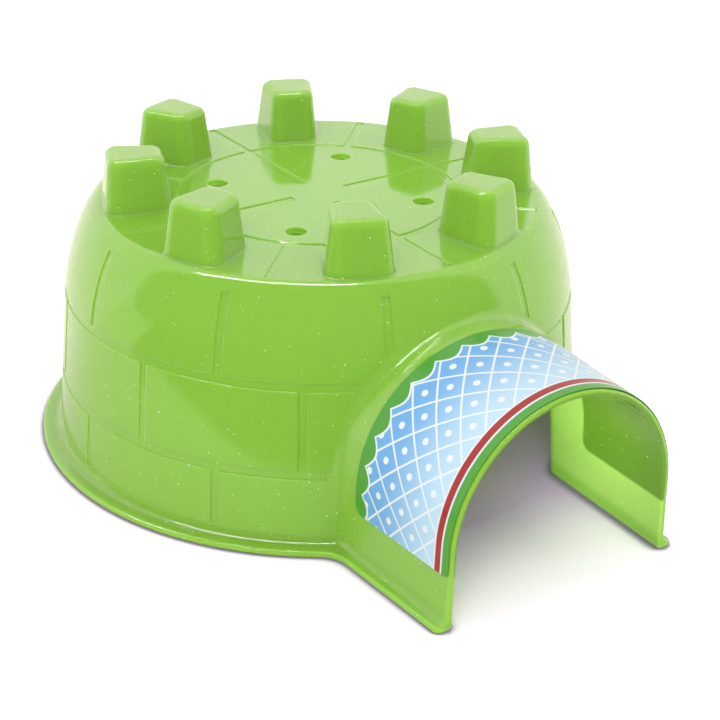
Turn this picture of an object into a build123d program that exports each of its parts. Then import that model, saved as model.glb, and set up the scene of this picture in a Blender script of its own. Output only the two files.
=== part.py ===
from build123d import *
import os
from math import acos, atan, cos, degrees, radians, sin, sqrt, tan

# A small castle-shaped hideout for a hamster or gerbil, moulded in one piece from thin plastic.
# A drafted round wall with three courses of bricks carries a flat roof with eight hollow merlons.
# A short arched tunnel leads in at the front, and a thin printed label is wrapped over the tunnel.
# Millimetres. +Z is up, the tunnel faces -Y, and the floor is the plane Z = 0.

# Sheet of the moulding
wall = 1.5                     # thickness of the moulded sheet
foot_round = 0.9               # round of the inner edge that stands on the floor

# Round wall and its shoulder, outer face
wall_radius = 65.75            # outer radius at the floor
wall_draft = 4.67              # degrees from upright
shoulder_height = 38.0         # where the drafted wall starts to curve in
roof_height = 60.6             # top of the flat roof
shoulder_run = 9.65            # how far in the curve goes before the roof is flat
shoulder_pull_low = 9.6        # how far the curve follows the wall
shoulder_pull_high = 4.1       # how far the curve follows the roof
shoulder_follow = 0.75         # share of an inset by which the roof's edge moves in, for an even sheet

# Flange at the floor
flange_width = 4.25            # how far the flange reaches beyond the foot of the wall
flange_thickness = 1.5
flange_corner = 8.0            # plan radius where dome flange and tunnel flange meet
flange_fillet = 2.0            # hollow between wall and flange
edge_round = 0.5               # rounded outer edge of the flange and of the tunnel's front end
flange_end_corner = 1.6        # plan radius of the flange's two ends at the tunnel's front

# Tunnel, outer face at its front end
tunnel_length = 31.75          # from the foot of the wall to the front end
arch_radius = 30.1
arch_height = 17.8             # height of the arch's centre
leg_spread = 0.55              # how far the legs stand out at the floor
tunnel_widening = 0.035        # growth of the half width for each mm towards the dome
tunnel_rise = 0.02             # rise of the arch's centre for each mm towards the dome
tunnel_flange = 2.5            # flange beside the legs
blend = 2.5                    # hollow between the tunnel and the round wall

# Brick courses of the round wall
course_heights = (17.75, 38.9)
bricks_per_course = 10
groove_width = 2.0
groove_depth = 0.3
joint_bottom = 3.6             # the lowest joints end here, above the flange's hollow
joint_top_gap = 3.1            # the highest joints end this far below the roof
plain_margin = 1.6             # bare strip round the tunnel, without brick grooves

# Roof pattern
ring_gap = 2.85                # between the ring's middle line and the merlons
spoke_start = 7.4
roof_joint_count = 8
spoke_count = 4

# Air holes in the roof
air_hole_count = 4
air_hole_gap = 7.65            # between the ring's middle line and the centre of a hole
air_hole_diameter = 5.0

# Merlons: wedge-shaped, hollow from below
merlon_count = 8
merlon_height = 12.9
merlon_margin = 0.5            # between the outer face and the edge of the roof's flat
merlon_depth = 16.3            # from the outer face to the inner face, at the roof
merlon_outer_width = 17.6      # at the roof
merlon_inner_width = 11.6
merlon_lean_out = 1.3          # how far the outer face leans in, up to the merlon's top
merlon_lean_in = 1.7           # how far the inner face leans out
merlon_top_outer_width = 13.6
merlon_top_inner_width = 10.0
merlon_corner = 2.1            # plan radius of a corner inside the sheet, at the roof
merlon_top_corner = 1.5        # the same at the merlon's top
merlon_top_round = 2.0
merlon_foot_fillet = 0.5

# Label over the tunnel
label_thickness = 0.2
label_gap = 0.15               # thin layer of adhesive between label and tunnel, left open
label_bottom = 13.0
label_front_gap = 0.1          # bare rim in front of the label
label_length = 30.25           # from its front edge to its rear edge, over the middle
label_skew = 4.1               # degrees that the rear edge is out of square
label_rear_corner = 2.5
label_front_corner = 1.0

clear = 5.0                    # how far a cutting tool runs past what it cuts
touching = 0.01                # points nearer than this are taken as one

# Sizes that follow from those above
wall_slope = tan(radians(wall_draft))
roof_radius = wall_radius - wall_slope * shoulder_height - shoulder_run
flange_radius = wall_radius + flange_width
tunnel_reach = wall_radius + tunnel_length
leg_half_width = arch_radius + leg_spread
root_half_width = leg_half_width + tunnel_widening * tunnel_reach
tunnel_root = sqrt((wall_radius - wall) ** 2 - root_half_width**2) - 2 * clear
brick_angle = 360 / bricks_per_course
merlon_angle = 360 / merlon_count
merlon_outer = roof_radius - merlon_margin
merlon_inner = merlon_outer - merlon_depth
merlon_top = roof_height + merlon_height
ring_radius = merlon_inner - ring_gap
air_hole_radius = ring_radius - air_hole_gap

# Places that follow from the sizes. The origin is the middle of the footprint.
axis_y = (tunnel_reach - flange_radius) / 2
front_y = axis_y - tunnel_reach
label_front_y = front_y + edge_round + label_front_gap
dome_axis = Axis((0, axis_y, 0), (0, 0, 1))
radial_plane = Plane(origin=(0, axis_y, 0), x_dir=(1, 0, 0), z_dir=(0, -1, 0))


def dome_section(inset):
    """Half section of the dome in the radial plane, with its face moved in by inset."""
    low = wall_radius - inset - wall_slope * shoulder_height
    pull = shoulder_pull_low / sqrt(1 + wall_slope**2)
    top = roof_height - inset
    edge = roof_radius - shoulder_follow * inset
    with BuildSketch(radial_plane) as section:
        with BuildLine():
            Line((wall_radius - inset, 0), (low, shoulder_height))
            Bezier(
                (low, shoulder_height),
                (low - wall_slope * pull, shoulder_height + pull),
                (edge + shoulder_pull_high, top),
                (edge, top),
            )
            Polyline((edge, top), (0, top), (0, 0), (wall_radius - inset, 0))
        make_face()
    return section.sketch


def tunnel_section(distance, inset):
    """Arch-shaped section of the tunnel, distance mm behind its front end."""
    radius = arch_radius + tunnel_widening * distance - inset
    centre = arch_height + tunnel_rise * distance
    half_width = leg_half_width + tunnel_widening * distance - inset
    reach = sqrt(half_width**2 + centre**2)
    low = degrees(acos(radius / reach) - atan(centre / half_width))
    with BuildSketch(Plane(origin=(0, front_y + distance, 0), x_dir=(1, 0, 0), z_dir=(0, -1, 0))) as section:
        with BuildLine():
            arch = CenterArc((0, centre), radius, low, 180 - 2 * low)
            Polyline(arch @ 1, (-half_width, 0), (half_width, 0), arch @ 0)
        make_face()
    return section.sketch


def tunnel_body(inset, start=0.0):
    """The tunnel as a solid, from start mm behind its front end to inside the dome."""
    ends = [tunnel_section(start, inset), tunnel_section(tunnel_reach - tunnel_root, inset)]
    return loft(ends, ruled=True, mode=Mode.PRIVATE)


def merlon_size(base, top, height):
    """A size of a merlon at one height, from that size at the roof and at the merlon's own top."""
    return base + (top - base) * (height - roof_height) / merlon_height


def merlon_section(height, inset):
    """Wedge-shaped section, at one height, of the merlon that stands on the +X side."""
    outer = merlon_size(merlon_outer, merlon_outer - merlon_lean_out, height) - inset
    inner = merlon_size(merlon_inner, merlon_inner + merlon_lean_in, height) + inset
    outer_half = merlon_size(merlon_outer_width, merlon_top_outer_width, height) / 2 - inset
    inner_half = merlon_size(merlon_inner_width, merlon_top_inner_width, height) / 2 - inset
    corner = merlon_size(merlon_corner, merlon_top_corner, height) + wall - inset
    with BuildSketch(Plane.XY.offset(height)) as section:
        with BuildLine():
            Polyline(
                (outer, outer_half),
                (inner, inner_half),
                (inner, -inner_half),
                (outer, -outer_half),
                close=True,
            )
        make_face()
        fillet(section.vertices(), corner)
    return section.sketch


def merlon_body(bottom, inset):
    """One merlon on the +X side, from a height below the roof's face to its own flat top."""
    ends = [merlon_section(bottom, inset), merlon_section(merlon_top - inset, inset)]
    return loft(ends, ruled=True, mode=Mode.PRIVATE)


def along(edges, wire):
    """Those of the edges that lie along a wire."""
    return edges.filter_by(lambda edge: wire.distance_to(edge @ 0.5) < touching)


def junction(body):
    """Edges where the tunnel meets the round wall, above the floor."""
    def on_wall(edge):
        box = edge.bounding_box()
        beside_wall = box.min.Y > axis_y - wall_radius - touching and box.max.Y < axis_y - tunnel_root
        return beside_wall and box.max.Z > touching
    return body.edges().filter_by(on_wall)


def flange_outline():
    """Outer outline of the flange: a disc round the dome, and a strip along each leg of the tunnel."""
    front = leg_half_width + tunnel_flange
    root = front + tunnel_widening * tunnel_reach
    with BuildSketch() as outline:
        with Locations((0, axis_y)):
            Circle(flange_radius)
        with BuildLine():
            Polyline((-front, front_y), (front, front_y), (root, axis_y), (-root, axis_y), close=True)
        make_face()
        fillet(outline.vertices().group_by(Axis.Y)[0], flange_end_corner)
        meeting = outline.vertices().filter_by(lambda corner: front_y + clear < corner.Y < axis_y - clear)
        fillet(meeting, flange_corner)
    return outline.sketch


def ring_bar(radius, height):
    """Square ring round the wall at one height, as wide as a groove, from which a course groove is cut."""
    with BuildPart() as ring:
        with BuildSketch(Plane.XY.offset(height - groove_width / 2)):
            with Locations((0, axis_y)):
                Circle(radius + clear)
                Circle(radius - clear, mode=Mode.SUBTRACT)
        extrude(amount=groove_width)
    return ring.part


def joint_bars(low, high, turn):
    """Upright bars round the wall, one for each joint of a course, between two heights."""
    with BuildPart() as bars:
        with Locations((0, axis_y, low)):
            with PolarLocations(0, bricks_per_course, start_angle=turn):
                Box(
                    wall_radius + clear,
                    groove_width,
                    high - low,
                    align=(Align.MIN, Align.CENTER, Align.MIN),
                )
    return bars.part


# One merlon, solid, with its flat top rounded off
with BuildPart() as merlon:
    add(merlon_body(roof_height - wall, 0))
    fillet(merlon.edges().filter_by_position(Axis.Z, merlon_top, merlon_top), merlon_top_round)

# The space inside the sheet: dome, tunnel and the hollows of the merlons
with BuildPart() as hollow:
    revolve(dome_section(wall), axis=dome_axis)
    add(tunnel_body(wall, start=-clear))
    fillet(junction(hollow), blend + wall)
    with Locations((0, axis_y)):
        with PolarLocations(0, merlon_count, start_angle=merlon_angle / 2):
            add(merlon_body(roof_height - 2 * wall, wall))
hollow_rim = hollow.faces().sort_by(Axis.Z)[0].outer_wire()

# Grooves of the brickwork: bars round the wall, cut back to the depth of a groove
with BuildPart() as brickwork:
    levels = (joint_bottom, *course_heights, roof_height - joint_top_gap)
    for height in course_heights:
        add(ring_bar(wall_radius, height))
    for course in range(len(levels) - 1):
        turn = -90 + brick_angle / 2 * ((course + 1) % 2)
        add(joint_bars(levels[course], levels[course + 1], turn))
    revolve(dome_section(groove_depth), axis=dome_axis, mode=Mode.SUBTRACT)
    add(tunnel_body(-plain_margin, start=-clear), mode=Mode.SUBTRACT)

# The moulded shell, outer form first
with BuildPart() as shell:
    revolve(dome_section(0), axis=dome_axis)
    add(tunnel_body(0))
    fillet(junction(shell), blend)

    # Flange, with a hollow where the wall meets it
    outline = flange_outline()
    extrude(outline, amount=flange_thickness)
    flange_rim = outline.faces()[0].outer_wire().moved(Location((0, 0, flange_thickness)))
    flange_top = shell.edges().filter_by_position(Axis.Z, flange_thickness, flange_thickness)
    fillet(flange_top.filter_by(lambda edge: edge.is_interior), flange_fillet)

    # Joints of the roof: a ring, joints from the ring to the edge, and spokes within the ring
    with BuildSketch(Plane.XY.offset(roof_height)):
        with Locations((0, axis_y)):
            Circle(ring_radius + groove_width / 2)
            Circle(ring_radius - groove_width / 2, mode=Mode.SUBTRACT)
            with PolarLocations(0, roof_joint_count, start_angle=90):
                with Locations(((ring_radius + roof_radius) / 2, 0)):
                    Rectangle(roof_radius - ring_radius, groove_width)
            with PolarLocations(0, spoke_count, start_angle=90):
                with Locations(((spoke_start + ring_radius) / 2, 0)):
                    Rectangle(ring_radius - spoke_start, groove_width)
    extrude(amount=-groove_depth, mode=Mode.SUBTRACT)

    # Air holes
    with Locations((0, axis_y, roof_height)):
        with PolarLocations(air_hole_radius, air_hole_count, start_angle=180 / air_hole_count):
            Hole(air_hole_diameter / 2)

    # Merlons, each with a small hollow round its foot
    with Locations((0, axis_y)):
        with PolarLocations(0, merlon_count, start_angle=merlon_angle / 2):
            add(merlon.part)
    roof_edges = shell.edges().filter_by_position(Axis.Z, roof_height, roof_height)
    fillet(roof_edges.filter_by(lambda edge: edge.is_interior), merlon_foot_fillet)

    # Everything inside the sheet is taken out, and the edge on the floor is eased
    add(hollow.part, mode=Mode.SUBTRACT)
    floor_edges = shell.edges().filter_by_position(Axis.Z, 0, 0)
    fillet(along(floor_edges, hollow_rim), foot_round)

    # The flange's outer edge and the edges of the tunnel's front end are rounded
    flange_top = shell.edges().filter_by_position(Axis.Z, flange_thickness, flange_thickness)
    front_edges = shell.edges().filter_by_position(Axis.Y, front_y, front_y).filter_by(Axis.Z, reverse=True)
    fillet(along(flange_top, flange_rim) + front_edges, edge_round)

    # Brick grooves of the wall
    add(brickwork.part, mode=Mode.SUBTRACT)

# The label, a thin film on the tunnel's outer face
skew = radians(label_skew)
label_plane = Plane(
    origin=(0, label_front_y + label_length, 0),
    x_dir=(-sin(skew), -cos(skew), 0),
    z_dir=(-cos(skew), sin(skew), 0),
)
with BuildPart() as arch_label:
    add(tunnel_body(-label_gap - label_thickness))
    add(tunnel_body(-label_gap), mode=Mode.SUBTRACT)
    with BuildSketch(label_plane) as rear_window:
        with Locations((0, label_bottom)):
            Rectangle(tunnel_reach, roof_height, align=(Align.MIN, Align.MIN))
        fillet(rear_window.vertices().group_by(Axis.Y)[0].sort_by(Axis.X)[0], label_rear_corner)
    extrude(amount=tunnel_reach, both=True, mode=Mode.INTERSECT)
    with BuildSketch(Plane.YZ) as front_window:
        with Locations((label_front_y, label_bottom)):
            Rectangle(tunnel_reach, roof_height, align=(Align.MIN, Align.MIN))
        fillet(front_window.vertices().group_by(Axis.Y)[0].sort_by(Axis.X)[0], label_front_corner)
    extrude(amount=tunnel_reach, both=True, mode=Mode.INTERSECT)

shell.part.label = "shell"
arch_label.part.label = "arch_label"
os.makedirs("parts", exist_ok=True)
export_step(shell.part, "parts/shell.step")
export_step(arch_label.part, "parts/arch_label.step")
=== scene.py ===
import math

import bpy
from mathutils import Matrix, Vector

# Looks for a castle-shaped rodent hideout: glossy, slightly translucent lime plastic with fine
# glitter, and a printed film wrapped over its tunnel. Metres, +Z up, the tunnel faces -Y.
# A pair of numbers named EDGE is where a pattern starts to change and where it has changed.

# Camera of the studio, at the picture's viewing angle, in degrees and millimetres of lens
CAMERA_PLACE = (-0.227013, -0.336221, 0.222664)
CAMERA_AZIMUTH = -34.318
CAMERA_ELEVATION = 26.316
CAMERA_ROLL = 1.0011
CAMERA_LENS = 91.334
CAMERA_SENSOR = 36.0
CAMERA_SHIFT = (0.00442, -0.00691)

# Places on the hideout, as its solids have them
DOME_Y = 0.01375
ARCH_HEIGHT = 0.0178
TUNNEL_WIDENING = 0.035
SHEET_MIDDLE = 0.02935
FILM_FRONT_Y = -0.08315
FILM_RADIUS = 0.0306
FILM_LENGTH = 0.03025
FILM_SKEW = 0.0717
FILM_BOTTOM = 0.013
FILM_CORNER = 0.0025

# Colours, linear
LIME = (0.25, 0.475, 0.052, 1.0)
# Painted shade: deeper lime where the film on the outside casts its shadow through the sheet
PAINTED_SHADE_LIME = (0.11, 0.25, 0.012, 1.0)
# Painted light: paler lime for the tunnel's inside, standing in for light let through the sheet
PAINTED_LIGHT_LIME = (0.35, 0.54, 0.112, 1.0)
FLAKE = (1.0, 1.0, 0.75, 1.0)
SKY = (0.13, 0.37, 0.7, 1.0)
PALE_SKY = (0.47, 0.66, 0.8, 1.0)
FILM_WHITE = (0.72, 0.76, 0.78, 1.0)
LEAF = (0.06, 0.31, 0.025, 1.0)
RED = (0.35, 0.005, 0.01, 1.0)

# Plastic: how far light spreads inside it, its glitter, soft corners and faint swell
LIGHT_SPREAD = (0.8, 1.0, 0.35)
LIGHT_SPREAD_SCALE = 0.004
FLAKE_SPACING = 0.0015
FLAKE_SIZE = 0.00011
CORNER_RADIUS = 0.0005
CORNER_SAMPLES = 4
SWELL_SCALE = 45.0
SWELL_STRENGTH = 0.5
SWELL_DEPTH = 0.0003

# Tunnel's inside, painted light and shade: half the blur of the film's painted shade and of the sheet,
# and the edges of the painted lit part
SHADE_BLUR = 0.0004
SHEET_BLUR = 0.0003
FLARE_EDGE = (0.0025, 0.005)
TUNNEL_REAR_EDGE = (0.043, 0.037)

# Print on the film. Bars and dots are counted in cells of the lattice
CELL = 0.0082
BAR_EDGE = (0.452, 0.466)
DOT_EDGE = (0.13, 0.15)
SKY_EDGE = (0.004, 0.026)
SCALLOP_WIDTH = 0.0068
SCALLOP_DEPTH = 0.0022
SCALLOP_OUTLINE_EDGE = (0.0026, 0.0024)
SCALLOP_EDGE = (0.002, 0.0018)
LINE_BACK = 0.0034
LINE_OUTLINE_EDGE = (0.0014, 0.0012)
LINE_EDGE = (0.001, 0.0008)
FRONT_STRIP_EDGE = (0.0021, 0.0019)

# Floor to the camera: in the open, with painted shade under the hideout, and with a painted contact
# shadow in a thin line along its foot
FLOOR_SIZE = 12.0
FLOOR_SEEN = (1.3, 1.19, 1.33, 1.0)
# Painted shade: darker floor colour under the tunnel and the dome
PAINTED_SHADE_FLOOR = (0.73, 0.51, 0.95, 1.0)
# Painted contact shadow along the hideout's foot
CONTACT_SHADE = (0.3, 0.26, 0.34, 1.0)
CONTACT_REACH = 0.003
CONTACT_SAMPLES = 8
CONTACT_EDGE = (0.55, 0.98)
TUNNEL_SIDE_EDGE = (0.034, 0.031)
TUNNEL_DEPTH_EDGE = (-0.08, -0.046)
TUNNEL_END_EDGE = (0.0, -0.02)
DOME_EDGE = (0.069, 0.066)

# Floor to plain light, and in reflections, where it ends in the dark before the hideout
FLOOR_PLAIN = (0.75, 0.75, 0.75, 1.0)
GLOSS_FLOOR_FRONT = (0.65, 0.65, 0.5, 1.0)
GLOSS_FLOOR_BEHIND = (0.85, 0.85, 0.68, 1.0)
GLOSS_FLOOR_DARK = (0.08, 0.08, 0.08, 1.0)
GLOSS_HALF_WIDTH = 0.06
GLOSS_END_EDGE = (0.108, 0.122)
GLOSS_SLANT = 0.3
GLOSS_FACING_EDGE = (-0.01, 0.01)
GLOSS_BEHIND_EDGE = (0.02, -0.05)

# Surroundings: soft light all round, and what reflections see of them
WHITE = (1.0, 1.0, 1.0, 1.0)
SOFT_LIGHT = 1.05
GLOSS_WORLD = (1.0, 1.0, 0.85, 1.0)
GLOSS_WORLD_DARK = (0.16, 0.16, 0.16, 1.0)
GLOSS_WORLD_EDGE = (0.02, 0.1)

# Point that the outer lamps are aimed at, from 1 m off
LAMP_TARGET = (0.0, DOME_Y, 0.03)


def add_node(nodes, kind, place, **settings):
    """One node at a place of the editor, with attributes set by name."""
    node = nodes.new(kind)
    node.location = place
    for name, value in settings.items():
        setattr(node, name, value)
    return node


def plug(links, socket, value):
    """Feeds a socket: from another socket, or with a constant."""
    if isinstance(value, bpy.types.NodeSocket):
        links.new(value, socket)
    else:
        socket.default_value = value


def calc(tree, operation, place, *values):
    """A Math node on sockets or numbers. Gives its output."""
    node = add_node(tree.nodes, "ShaderNodeMath", place, operation=operation)
    for socket, value in zip(node.inputs, values):
        plug(tree.links, socket, value)
    return node.outputs[0]


def excess(tree, one, two, place):
    """How much the first is above the second, and 0 where it is below."""
    x, y = place
    more = calc(tree, "SUBTRACT", (x - 150, y), one, two)
    return calc(tree, "MAXIMUM", place, more, 0.0)


def diagonal(tree, one, two, place):
    """Distance that two sides at right angles give."""
    x, y = place
    square = calc(tree, "MULTIPLY", (x - 300, y), two, two)
    squares = calc(tree, "MULTIPLY_ADD", (x - 150, y), one, one, square)
    return calc(tree, "SQRT", place, squares)


def ramp(tree, value, start, end, place):
    """0 up to the start, 1 from the end on, smooth between. The end may be the lower one."""
    node = add_node(tree.nodes, "ShaderNodeMapRange", place, interpolation_type="SMOOTHSTEP")
    plug(tree.links, node.inputs["Value"], value)
    node.inputs["From Min"].default_value = start
    node.inputs["From Max"].default_value = end
    return node.outputs["Result"]


def blend(tree, factor, none, full, place):
    """Mix of two colours, each a socket or a constant. Gives its output."""
    node = add_node(tree.nodes, "ShaderNodeMix", place, data_type="RGBA")
    plug(tree.links, node.inputs["Factor"], factor)
    plug(tree.links, node.inputs["A"], none)
    plug(tree.links, node.inputs["B"], full)
    return node.outputs["Result"]


def object_place(tree, place):
    """A piece's own coordinates: the vector, then X, Y and Z."""
    x, y = place
    vector = add_node(tree.nodes, "ShaderNodeTexCoord", place).outputs["Object"]
    axes = add_node(tree.nodes, "ShaderNodeSeparateXYZ", (x + 200, y))
    tree.links.new(vector, axes.inputs["Vector"])
    return vector, axes.outputs["X"], axes.outputs["Y"], axes.outputs["Z"]


def new_material(name):
    """An empty material: its node tree, its Principled shader and its output."""
    material = bpy.data.materials.new(name)
    material.use_nodes = True
    tree = material.node_tree
    tree.nodes.clear()
    output = add_node(tree.nodes, "ShaderNodeOutputMaterial", (1900, 0))
    shader = add_node(tree.nodes, "ShaderNodeBsdfPrincipled", (1500, 0))
    tree.links.new(shader.outputs["BSDF"], output.inputs["Surface"])
    return material, tree, shader, output


def glitter_group():
    """Fine flakes strewn through plastic, as a mask above 0 on a flake and 0 beside it."""
    group = bpy.data.node_groups.new("glitter_flakes", "ShaderNodeTree")
    group.interface.new_socket("Vector", in_out="INPUT", socket_type="NodeSocketVector")
    group.interface.new_socket("Spacing", in_out="INPUT", socket_type="NodeSocketFloat")
    group.interface.new_socket("Flake Size", in_out="INPUT", socket_type="NodeSocketFloat")
    group.interface.new_socket("Mask", in_out="OUTPUT", socket_type="NodeSocketFloat")
    given = add_node(group.nodes, "NodeGroupInput", (-900, 0))
    result = add_node(group.nodes, "NodeGroupOutput", (500, 0))
    cells = add_node(group.nodes, "ShaderNodeTexVoronoi", (-400, 100), feature="F1")
    tone = add_node(group.nodes, "ShaderNodeSeparateColor", (-200, 200))
    spacing = given.outputs["Spacing"]
    group.links.new(given.outputs["Vector"], cells.inputs["Vector"])
    group.links.new(calc(group, "DIVIDE", (-600, -50), 1.0, spacing), cells.inputs["Scale"])
    group.links.new(cells.outputs["Color"], tone.inputs["Color"])
    size = calc(group, "DIVIDE", (-400, -250), given.outputs["Flake Size"], spacing)
    chance = calc(group, "ADD", (-200, -50), tone.outputs["Green"], 0.5)
    varied = calc(group, "MULTIPLY", (-200, -250), size, chance)
    near = calc(group, "LESS_THAN", (0, 0), cells.outputs["Distance"], varied)
    mask = calc(group, "MULTIPLY", (200, 0), near, tone.outputs["Red"])
    group.links.new(mask, result.inputs["Mask"])
    return group


def plastic_colour_with_painted_light(tree, x, y, z):
    """Lime, with painted light and painted shade on the tunnel's inside: paler where light would pass
    through the sheet, and deeper where the film outside casts its shadow through it.
    """
    back = calc(tree, "SUBTRACT", (-1400, 800), y, FILM_FRONT_Y)
    rise = excess(tree, z, ARCH_HEIGHT, (-1400, 600))
    from_axis = diagonal(tree, x, rise, (-1000, 600))
    widening = calc(tree, "MULTIPLY", (-1100, 800), back, TUNNEL_WIDENING)
    radius = calc(tree, "SUBTRACT", (-900, 700), from_axis, widening)
    inside = ramp(tree, radius, SHEET_MIDDLE + SHEET_BLUR, SHEET_MIDDLE - SHEET_BLUR, (-700, 700))

    # Painted light: the tunnel's inside, above the flare and ahead of the tunnel's rear end, is painted
    # paler
    above_flare = ramp(tree, z, *FLARE_EDGE, (-700, 900))
    in_tunnel = ramp(tree, back, *TUNNEL_REAR_EDGE, (-700, 1300))
    lit = calc(tree, "MULTIPLY", (-500, 800), above_flare, in_tunnel)
    painted_light_mask = calc(tree, "MULTIPLY", (-300, 800), inside, lit)
    with_painted_light = blend(tree, painted_light_mask, LIME, PAINTED_LIGHT_LIME, (-100, 800))

    # Painted shade: the inside behind the film, with a rounded lower rear corner, is painted deeper
    rear = calc(tree, "MULTIPLY_ADD", (-1400, 1000), x, -FILM_SKEW, FILM_LENGTH - FILM_CORNER)
    past_rear = excess(tree, back, rear, (-1200, 1000))
    below = excess(tree, FILM_BOTTOM + FILM_CORNER, z, (-1200, 1200))
    beyond = diagonal(tree, below, past_rear, (-700, 1100))
    under_film_shadow = ramp(tree, beyond, FILM_CORNER + SHADE_BLUR, FILM_CORNER - SHADE_BLUR, (-500, 1100))
    painted_shade_mask = calc(tree, "MULTIPLY", (-300, 1000), inside, under_film_shadow)
    return blend(tree, painted_shade_mask, with_painted_light, PAINTED_SHADE_LIME, (100, 800))


def plastic_surface(tree, vector):
    """Normal of moulded plastic, with soft corners and a faint swell."""
    soft_corners = add_node(tree.nodes, "ShaderNodeBevel", (-700, -250), samples=CORNER_SAMPLES)
    soft_corners.inputs["Radius"].default_value = CORNER_RADIUS
    swell = add_node(tree.nodes, "ShaderNodeTexNoise", (-700, -450))
    swell.inputs["Scale"].default_value = SWELL_SCALE
    swell.inputs["Detail"].default_value = 1.0
    tree.links.new(vector, swell.inputs["Vector"])
    raised = add_node(tree.nodes, "ShaderNodeBump", (-300, -300))
    raised.inputs["Strength"].default_value = SWELL_STRENGTH
    raised.inputs["Distance"].default_value = SWELL_DEPTH
    tree.links.new(swell.outputs["Fac"], raised.inputs["Height"])
    tree.links.new(soft_corners.outputs["Normal"], raised.inputs["Normal"])
    return raised.outputs["Normal"]


def green_plastic(glitter):
    """Moulded lime plastic, glossy and a little translucent, with glitter."""
    material, tree, shader, _ = new_material("green_plastic")
    shader.inputs["Roughness"].default_value = 0.14
    shader.inputs["IOR"].default_value = 1.5
    shader.inputs["Subsurface Weight"].default_value = 1.0
    shader.inputs["Subsurface Radius"].default_value = LIGHT_SPREAD
    shader.inputs["Subsurface Scale"].default_value = LIGHT_SPREAD_SCALE
    shader.inputs["Coat Weight"].default_value = 1.0
    shader.inputs["Coat Roughness"].default_value = 0.03
    vector, x, y, z = object_place(tree, (-2000, 0))

    flakes = add_node(tree.nodes, "ShaderNodeGroup", (300, 300), node_tree=glitter)
    flakes.inputs["Spacing"].default_value = FLAKE_SPACING
    flakes.inputs["Flake Size"].default_value = FLAKE_SIZE
    tree.links.new(vector, flakes.inputs["Vector"])
    # The plastic's colour carries painted light and painted shade on the tunnel's inside
    lime_with_painted_light = plastic_colour_with_painted_light(tree, x, y, z)
    strewn = blend(tree, flakes.outputs["Mask"], lime_with_painted_light, FLAKE, (600, 300))
    tree.links.new(strewn, shader.inputs["Base Color"])

    normal = plastic_surface(tree, vector)
    tree.links.new(normal, shader.inputs["Normal"])
    tree.links.new(normal, shader.inputs["Coat Normal"])
    return material


def lattice(tree, around, back):
    """Lattice of white bars with a dot in each cell, over a blue that pales toward the front."""
    off_middle = []
    for row, operation in ((100, "ADD"), (-100, "SUBTRACT")):
        slanted = calc(tree, operation, (-1200, row), around, back)
        cells = calc(tree, "DIVIDE", (-1000, row), slanted, CELL)
        across = calc(tree, "FRACT", (-850, row), cells)
        from_middle = calc(tree, "SUBTRACT", (-700, row), across, 0.5)
        off_middle.append(calc(tree, "ABSOLUTE", (-550, row), from_middle))
    farther = calc(tree, "MAXIMUM", (-400, 0), *off_middle)
    bars = ramp(tree, farther, *BAR_EDGE, (-200, 0))
    from_dot = diagonal(tree, *off_middle, (-200, -250))
    beside_dot = ramp(tree, from_dot, *DOT_EDGE, (0, -250))
    ground = blend(tree, ramp(tree, back, *SKY_EDGE, (-400, 300)), PALE_SKY, SKY, (-200, 300))
    barred = blend(tree, bars, ground, FILM_WHITE, (0, 200))
    return blend(tree, beside_dot, FILM_WHITE, barred, (200, 200))


def scalloped_border(tree, x, around, back, printed):
    """Leaf-green scallops along the film's rear edge, with a white outline, over what is printed."""
    rear = calc(tree, "MULTIPLY_ADD", (-1400, 700), x, -FILM_SKEW, FILM_LENGTH)
    inward = calc(tree, "SUBTRACT", (-1200, 700), rear, back)
    turns = calc(tree, "MULTIPLY", (-1000, 500), around, math.pi / SCALLOP_WIDTH)
    wave = calc(tree, "ABSOLUTE", (-600, 500), calc(tree, "SINE", (-800, 500), turns))
    cut = calc(tree, "MULTIPLY", (-400, 500), wave, SCALLOP_DEPTH)
    reach = calc(tree, "SUBTRACT", (-200, 500), inward, cut)
    outline = ramp(tree, reach, *SCALLOP_OUTLINE_EDGE, (0, 500))
    outlined = blend(tree, outline, printed, FILM_WHITE, (400, 300))
    scallops = ramp(tree, reach, *SCALLOP_EDGE, (0, 700))
    return blend(tree, scallops, outlined, LEAF, (600, 300))


def front_lines(tree, back, printed):
    """Red line between two white edges and a leaf-green strip in front, over what is printed."""
    from_line = calc(tree, "SUBTRACT", (-400, 900), back, LINE_BACK)
    off_line = calc(tree, "ABSOLUTE", (-200, 900), from_line)
    outline = ramp(tree, off_line, *LINE_OUTLINE_EDGE, (0, 900))
    outlined = blend(tree, outline, printed, FILM_WHITE, (800, 300))
    line = ramp(tree, off_line, *LINE_EDGE, (0, 1100))
    lined = blend(tree, line, outlined, RED, (1000, 300))
    strip = ramp(tree, back, *FRONT_STRIP_EDGE, (0, 1300))
    return blend(tree, strip, lined, LEAF, (1200, 300))


def label_film():
    """Glossy printed film. The print is laid out around the tunnel and back from its front edge."""
    material, tree, shader, _ = new_material("label_film")
    shader.inputs["Roughness"].default_value = 0.28
    shader.inputs["Coat Weight"].default_value = 0.35
    shader.inputs["Coat Roughness"].default_value = 0.06
    _, x, y, z = object_place(tree, (-2400, 0))
    height = calc(tree, "SUBTRACT", (-1800, -100), z, ARCH_HEIGHT)
    turn = calc(tree, "ARCTAN2", (-1600, 0), x, height)
    around = calc(tree, "MULTIPLY", (-1400, 0), turn, FILM_RADIUS)
    back = calc(tree, "SUBTRACT", (-1800, 200), y, FILM_FRONT_Y)
    printed = lattice(tree, around, back)
    printed = scalloped_border(tree, x, around, back, printed)
    printed = front_lines(tree, back, printed)
    tree.links.new(printed, shader.inputs["Base Color"])
    return material


def assign(piece, material):
    """The only material of a piece."""
    piece.data.materials.clear()
    piece.data.materials.append(material)


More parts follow.
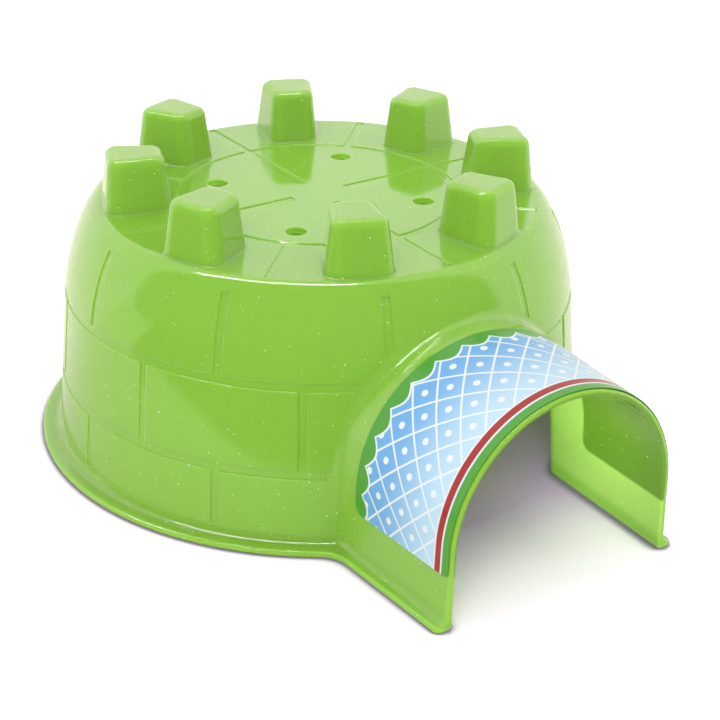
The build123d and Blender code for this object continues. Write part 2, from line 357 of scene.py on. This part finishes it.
def toward_camera():
    """Level direction from the hideout to the camera, and the one to the camera's left."""
    a = math.radians(CAMERA_AZIMUTH)
    return Vector((math.sin(a), -math.cos(a), 0.0)), Vector((-math.cos(a), -math.sin(a), 0.0))


def floor_to_camera(tree, x, y):
    """The floor's colour in the picture, with painted shade under the hideout and a painted contact
    shadow along its foot.
    """
    between_sides = ramp(tree, calc(tree, "ABSOLUTE", (-1200, 700), x), *TUNNEL_SIDE_EDGE, (-1000, 700))
    deep = ramp(tree, y, *TUNNEL_DEPTH_EDGE, (-1000, 900))
    before_end = ramp(tree, y, *TUNNEL_END_EDGE, (-1000, 1100))
    lengthwise = calc(tree, "MULTIPLY", (-800, 900), deep, before_end)
    in_tunnel = calc(tree, "MULTIPLY", (-600, 800), between_sides, lengthwise)
    from_dome_y = calc(tree, "SUBTRACT", (-1300, 1300), y, DOME_Y)
    in_dome = ramp(tree, diagonal(tree, x, from_dome_y, (-800, 1300)), *DOME_EDGE, (-600, 1300))
    covered = calc(tree, "MAXIMUM", (-400, 1000), in_tunnel, in_dome)
    # Painted shade where the hideout covers the floor
    with_painted_shade = blend(tree, covered, FLOOR_SEEN, PAINTED_SHADE_FLOOR, (-200, 900))

    # Painted contact shadow: darker floor within a few millimetres of the hideout, by ambient occlusion
    contact = add_node(tree.nodes, "ShaderNodeAmbientOcclusion", (-700, 500), samples=CONTACT_SAMPLES)
    contact.inputs["Distance"].default_value = CONTACT_REACH
    openness = ramp(tree, contact.outputs["AO"], *CONTACT_EDGE, (-400, 500))
    return blend(tree, openness, CONTACT_SHADE, with_painted_shade, (0, 600))


def floor_in_gloss(tree, vector):
    """The floor's colour in reflections."""
    from_dome = add_node(tree.nodes, "ShaderNodeVectorMath", (-1600, -300), operation="SUBTRACT")
    from_dome.inputs[1].default_value = (0.0, DOME_Y, 0.0)
    tree.links.new(vector, from_dome.inputs[0])
    reaches = []
    for row, direction in zip((-200, -400), toward_camera()):
        along = add_node(tree.nodes, "ShaderNodeVectorMath", (-1400, row), operation="DOT_PRODUCT")
        along.inputs[1].default_value = direction
        tree.links.new(from_dome.outputs["Vector"], along.inputs[0])
        reaches.append(along.outputs["Value"])
    ahead, left = reaches
    side = calc(tree, "ABSOLUTE", (-1200, -400), left)
    fore = calc(tree, "MAXIMUM", (-1000, -200), ahead, 0.0)
    beside = excess(tree, side, GLOSS_HALF_WIDTH, (-1000, -400))
    past_end = ramp(tree, diagonal(tree, fore, beside, (-600, -300)), *GLOSS_END_EDGE, (-400, -300))
    slanted = calc(tree, "MULTIPLY", (-800, -600), side, GLOSS_SLANT)
    toward = calc(tree, "SUBTRACT", (-600, -600), ahead, slanted)
    facing = ramp(tree, toward, *GLOSS_FACING_EDGE, (-400, -600))
    dark = calc(tree, "MULTIPLY", (-200, -400), past_end, facing)
    behind = ramp(tree, ahead, *GLOSS_BEHIND_EDGE, (-400, -900))
    near = blend(tree, behind, GLOSS_FLOOR_FRONT, GLOSS_FLOOR_BEHIND, (-200, -800))
    return blend(tree, dark, near, GLOSS_FLOOR_DARK, (0, -500))


def studio_floor():
    """Pale matt floor that keeps the hideout's shadow, darkened further by painted shade for the camera,
    with a look of its own in reflections.
    """
    bpy.ops.mesh.primitive_plane_add(size=FLOOR_SIZE, location=(0, 0, 0))
    floor = bpy.context.active_object
    floor.name = "studio_floor"
    material, tree, shader, output = new_material("floor_white")
    shader.inputs["Roughness"].default_value = 1.0
    shader.inputs["Specular IOR Level"].default_value = 0.0
    vector, x, y, _ = object_place(tree, (-2000, 0))
    rays = add_node(tree.nodes, "ShaderNodeLightPath", (900, 400))
    seen = floor_to_camera(tree, x, y)
    colour = blend(tree, rays.outputs["Is Camera Ray"], FLOOR_PLAIN, seen, (1200, 300))
    tree.links.new(colour, shader.inputs["Base Color"])

    gloss = add_node(tree.nodes, "ShaderNodeBsdfDiffuse", (300, -400))
    tree.links.new(floor_in_gloss(tree, vector), gloss.inputs["Color"])
    mix = add_node(tree.nodes, "ShaderNodeMixShader", (1700, -200))
    tree.links.new(rays.outputs["Is Glossy Ray"], mix.inputs["Fac"])
    tree.links.new(shader.outputs["BSDF"], mix.inputs[1])
    tree.links.new(gloss.outputs["BSDF"], mix.inputs[2])
    tree.links.new(mix.outputs["Shader"], output.inputs["Surface"])
    floor.data.materials.append(material)


def studio_world():
    """White surroundings, which reflections see dark on the camera's side."""
    world = bpy.data.worlds.new("studio_world")
    bpy.context.scene.world = world
    world.use_nodes = True
    tree = world.node_tree
    tree.nodes.clear()
    output = add_node(tree.nodes, "ShaderNodeOutputWorld", (800, 0))
    rays = add_node(tree.nodes, "ShaderNodeLightPath", (-400, 400))
    place = add_node(tree.nodes, "ShaderNodeTexCoord", (-800, -200))
    toward = add_node(tree.nodes, "ShaderNodeVectorMath", (-600, -200), operation="DOT_PRODUCT")
    toward.inputs[1].default_value = toward_camera()[0]
    tree.links.new(place.outputs["Generated"], toward.inputs[0])
    dark = ramp(tree, toward.outputs["Value"], *GLOSS_WORLD_EDGE, (-400, -200))

    soft = add_node(tree.nodes, "ShaderNodeBackground", (200, -300))
    soft.inputs["Color"].default_value = WHITE
    soft.inputs["Strength"].default_value = SOFT_LIGHT
    gloss = add_node(tree.nodes, "ShaderNodeBackground", (200, -100))
    tree.links.new(blend(tree, dark, GLOSS_WORLD, GLOSS_WORLD_DARK, (0, -200)), gloss.inputs["Color"])
    white = add_node(tree.nodes, "ShaderNodeBackground", (200, 100))
    white.inputs["Color"].default_value = WHITE

    unseen = add_node(tree.nodes, "ShaderNodeMixShader", (400, -100))
    tree.links.new(rays.outputs["Is Glossy Ray"], unseen.inputs["Fac"])
    tree.links.new(soft.outputs["Background"], unseen.inputs[1])
    tree.links.new(gloss.outputs["Background"], unseen.inputs[2])
    mix = add_node(tree.nodes, "ShaderNodeMixShader", (600, 0))
    tree.links.new(rays.outputs["Is Camera Ray"], mix.inputs["Fac"])
    tree.links.new(unseen.outputs["Shader"], mix.inputs[1])
    tree.links.new(white.outputs["Background"], mix.inputs[2])
    tree.links.new(mix.outputs["Shader"], output.inputs["Surface"])


def hang_outside(lamp, azimuth, elevation):
    """Hangs a lamp 1 m off, at a direction counted as the camera's is, its length across the view."""
    a, e = math.radians(azimuth), math.radians(elevation)
    away = Vector((math.sin(a) * math.cos(e), -math.cos(a) * math.cos(e), math.sin(e)))
    left = toward_camera()[1]
    across = (left - away * left.dot(away)).normalized()
    turn = Matrix((across, away.cross(across), away)).transposed()
    lamp.matrix_world = Matrix.Translation(Vector(LAMP_TARGET) + away) @ turn.to_4x4()
    bpy.context.scene.collection.objects.link(lamp)


def soft_sun(name, azimuth, elevation, strength, spread):
    """Broad even light that throws soft shadows and is not seen in the gloss."""
    data = bpy.data.lights.new(name, "SUN")
    data.energy = strength
    data.angle = math.radians(spread)
    lamp = bpy.data.objects.new(name, data)
    lamp.visible_glossy = False
    hang_outside(lamp, azimuth, elevation)


def strip_lamp(name, azimuth, elevation, length, width, watts):
    """Long narrow lamp, seen only as the bright line on rounded edges."""
    data = bpy.data.lights.new(name, "AREA")
    data.shape = "RECTANGLE"
    data.size, data.size_y = length, width
    data.energy = watts
    lamp = bpy.data.objects.new(name, data)
    lamp.visible_diffuse = False
    hang_outside(lamp, azimuth, elevation)


def inner_lamp(name, shape, size, place, backward, watts, spread):
    """Weak lamp inside the hideout, which neither gloss nor camera sees. Its back is turned backward."""
    data = bpy.data.lights.new(name, "AREA")
    data.shape = shape
    data.size, data.size_y = size
    data.energy = watts
    data.spread = math.radians(spread)
    lamp = bpy.data.objects.new(name, data)
    lamp.visible_glossy = False
    lamp.visible_camera = False
    turn = Vector(backward).normalized().to_track_quat("Z", "Y").to_matrix().to_4x4()
    lamp.matrix_world = Matrix.Translation(place) @ turn
    bpy.context.scene.collection.objects.link(lamp)


def studio_camera():
    """Camera at the picture's viewing angle."""
    a, e = math.radians(CAMERA_AZIMUTH), math.radians(CAMERA_ELEVATION)
    roll = math.radians(CAMERA_ROLL)
    forward = Vector((-math.sin(a) * math.cos(e), math.cos(a) * math.cos(e), -math.sin(e)))
    right = Vector((math.cos(a), math.sin(a), 0.0))
    up = right.cross(forward)
    right_rolled = right * math.cos(roll) + up * math.sin(roll)
    up_rolled = up * math.cos(roll) - right * math.sin(roll)
    turn = Matrix((right_rolled, up_rolled, -forward)).transposed()
    data = bpy.data.cameras.new("studio_camera")
    data.lens = CAMERA_LENS
    data.sensor_width = CAMERA_SENSOR
    data.shift_x, data.shift_y = CAMERA_SHIFT
    camera = bpy.data.objects.new("studio_camera", data)
    camera.matrix_world = Matrix.Translation(CAMERA_PLACE) @ turn.to_4x4()
    bpy.context.scene.collection.objects.link(camera)
    bpy.context.scene.camera = camera


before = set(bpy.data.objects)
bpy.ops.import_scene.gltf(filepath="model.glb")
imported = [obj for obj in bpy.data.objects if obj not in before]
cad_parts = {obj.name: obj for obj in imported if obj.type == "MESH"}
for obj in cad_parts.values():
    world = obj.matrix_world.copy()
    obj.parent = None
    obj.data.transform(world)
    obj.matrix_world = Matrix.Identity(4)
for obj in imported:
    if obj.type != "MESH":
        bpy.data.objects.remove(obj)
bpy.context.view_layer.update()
bpy.ops.object.select_all(action="DESELECT")

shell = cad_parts["shell"]
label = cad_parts["arch_label"]
assign(shell, green_plastic(glitter_group()))
assign(label, label_film())

studio_floor()
studio_world()
soft_sun("front_light", azimuth=-42, elevation=28, strength=1.1, spread=40)
strip_lamp("edge_strip", azimuth=CAMERA_AZIMUTH - 90, elevation=78, length=0.8, width=0.04, watts=3.4)
# In the mouth, toward the inside of the far leg
inner_lamp("tunnel_light", "RECTANGLE", (0.03, 0.02), (-0.02, -0.068, 0.031), (-1.0, -0.15, 0.1),
           watts=0.007, spread=70)
# Inside the dome, facing up, for the light that a translucent sheet lets in
inner_lamp("dome_light", "DISK", (0.08, 0.08), (0.0, DOME_Y, 0.01), (0.0, 0.0, -1.0),
           watts=0.03, spread=180)
studio_camera()
bpy.context.scene.view_settings.view_transform = "Standard"
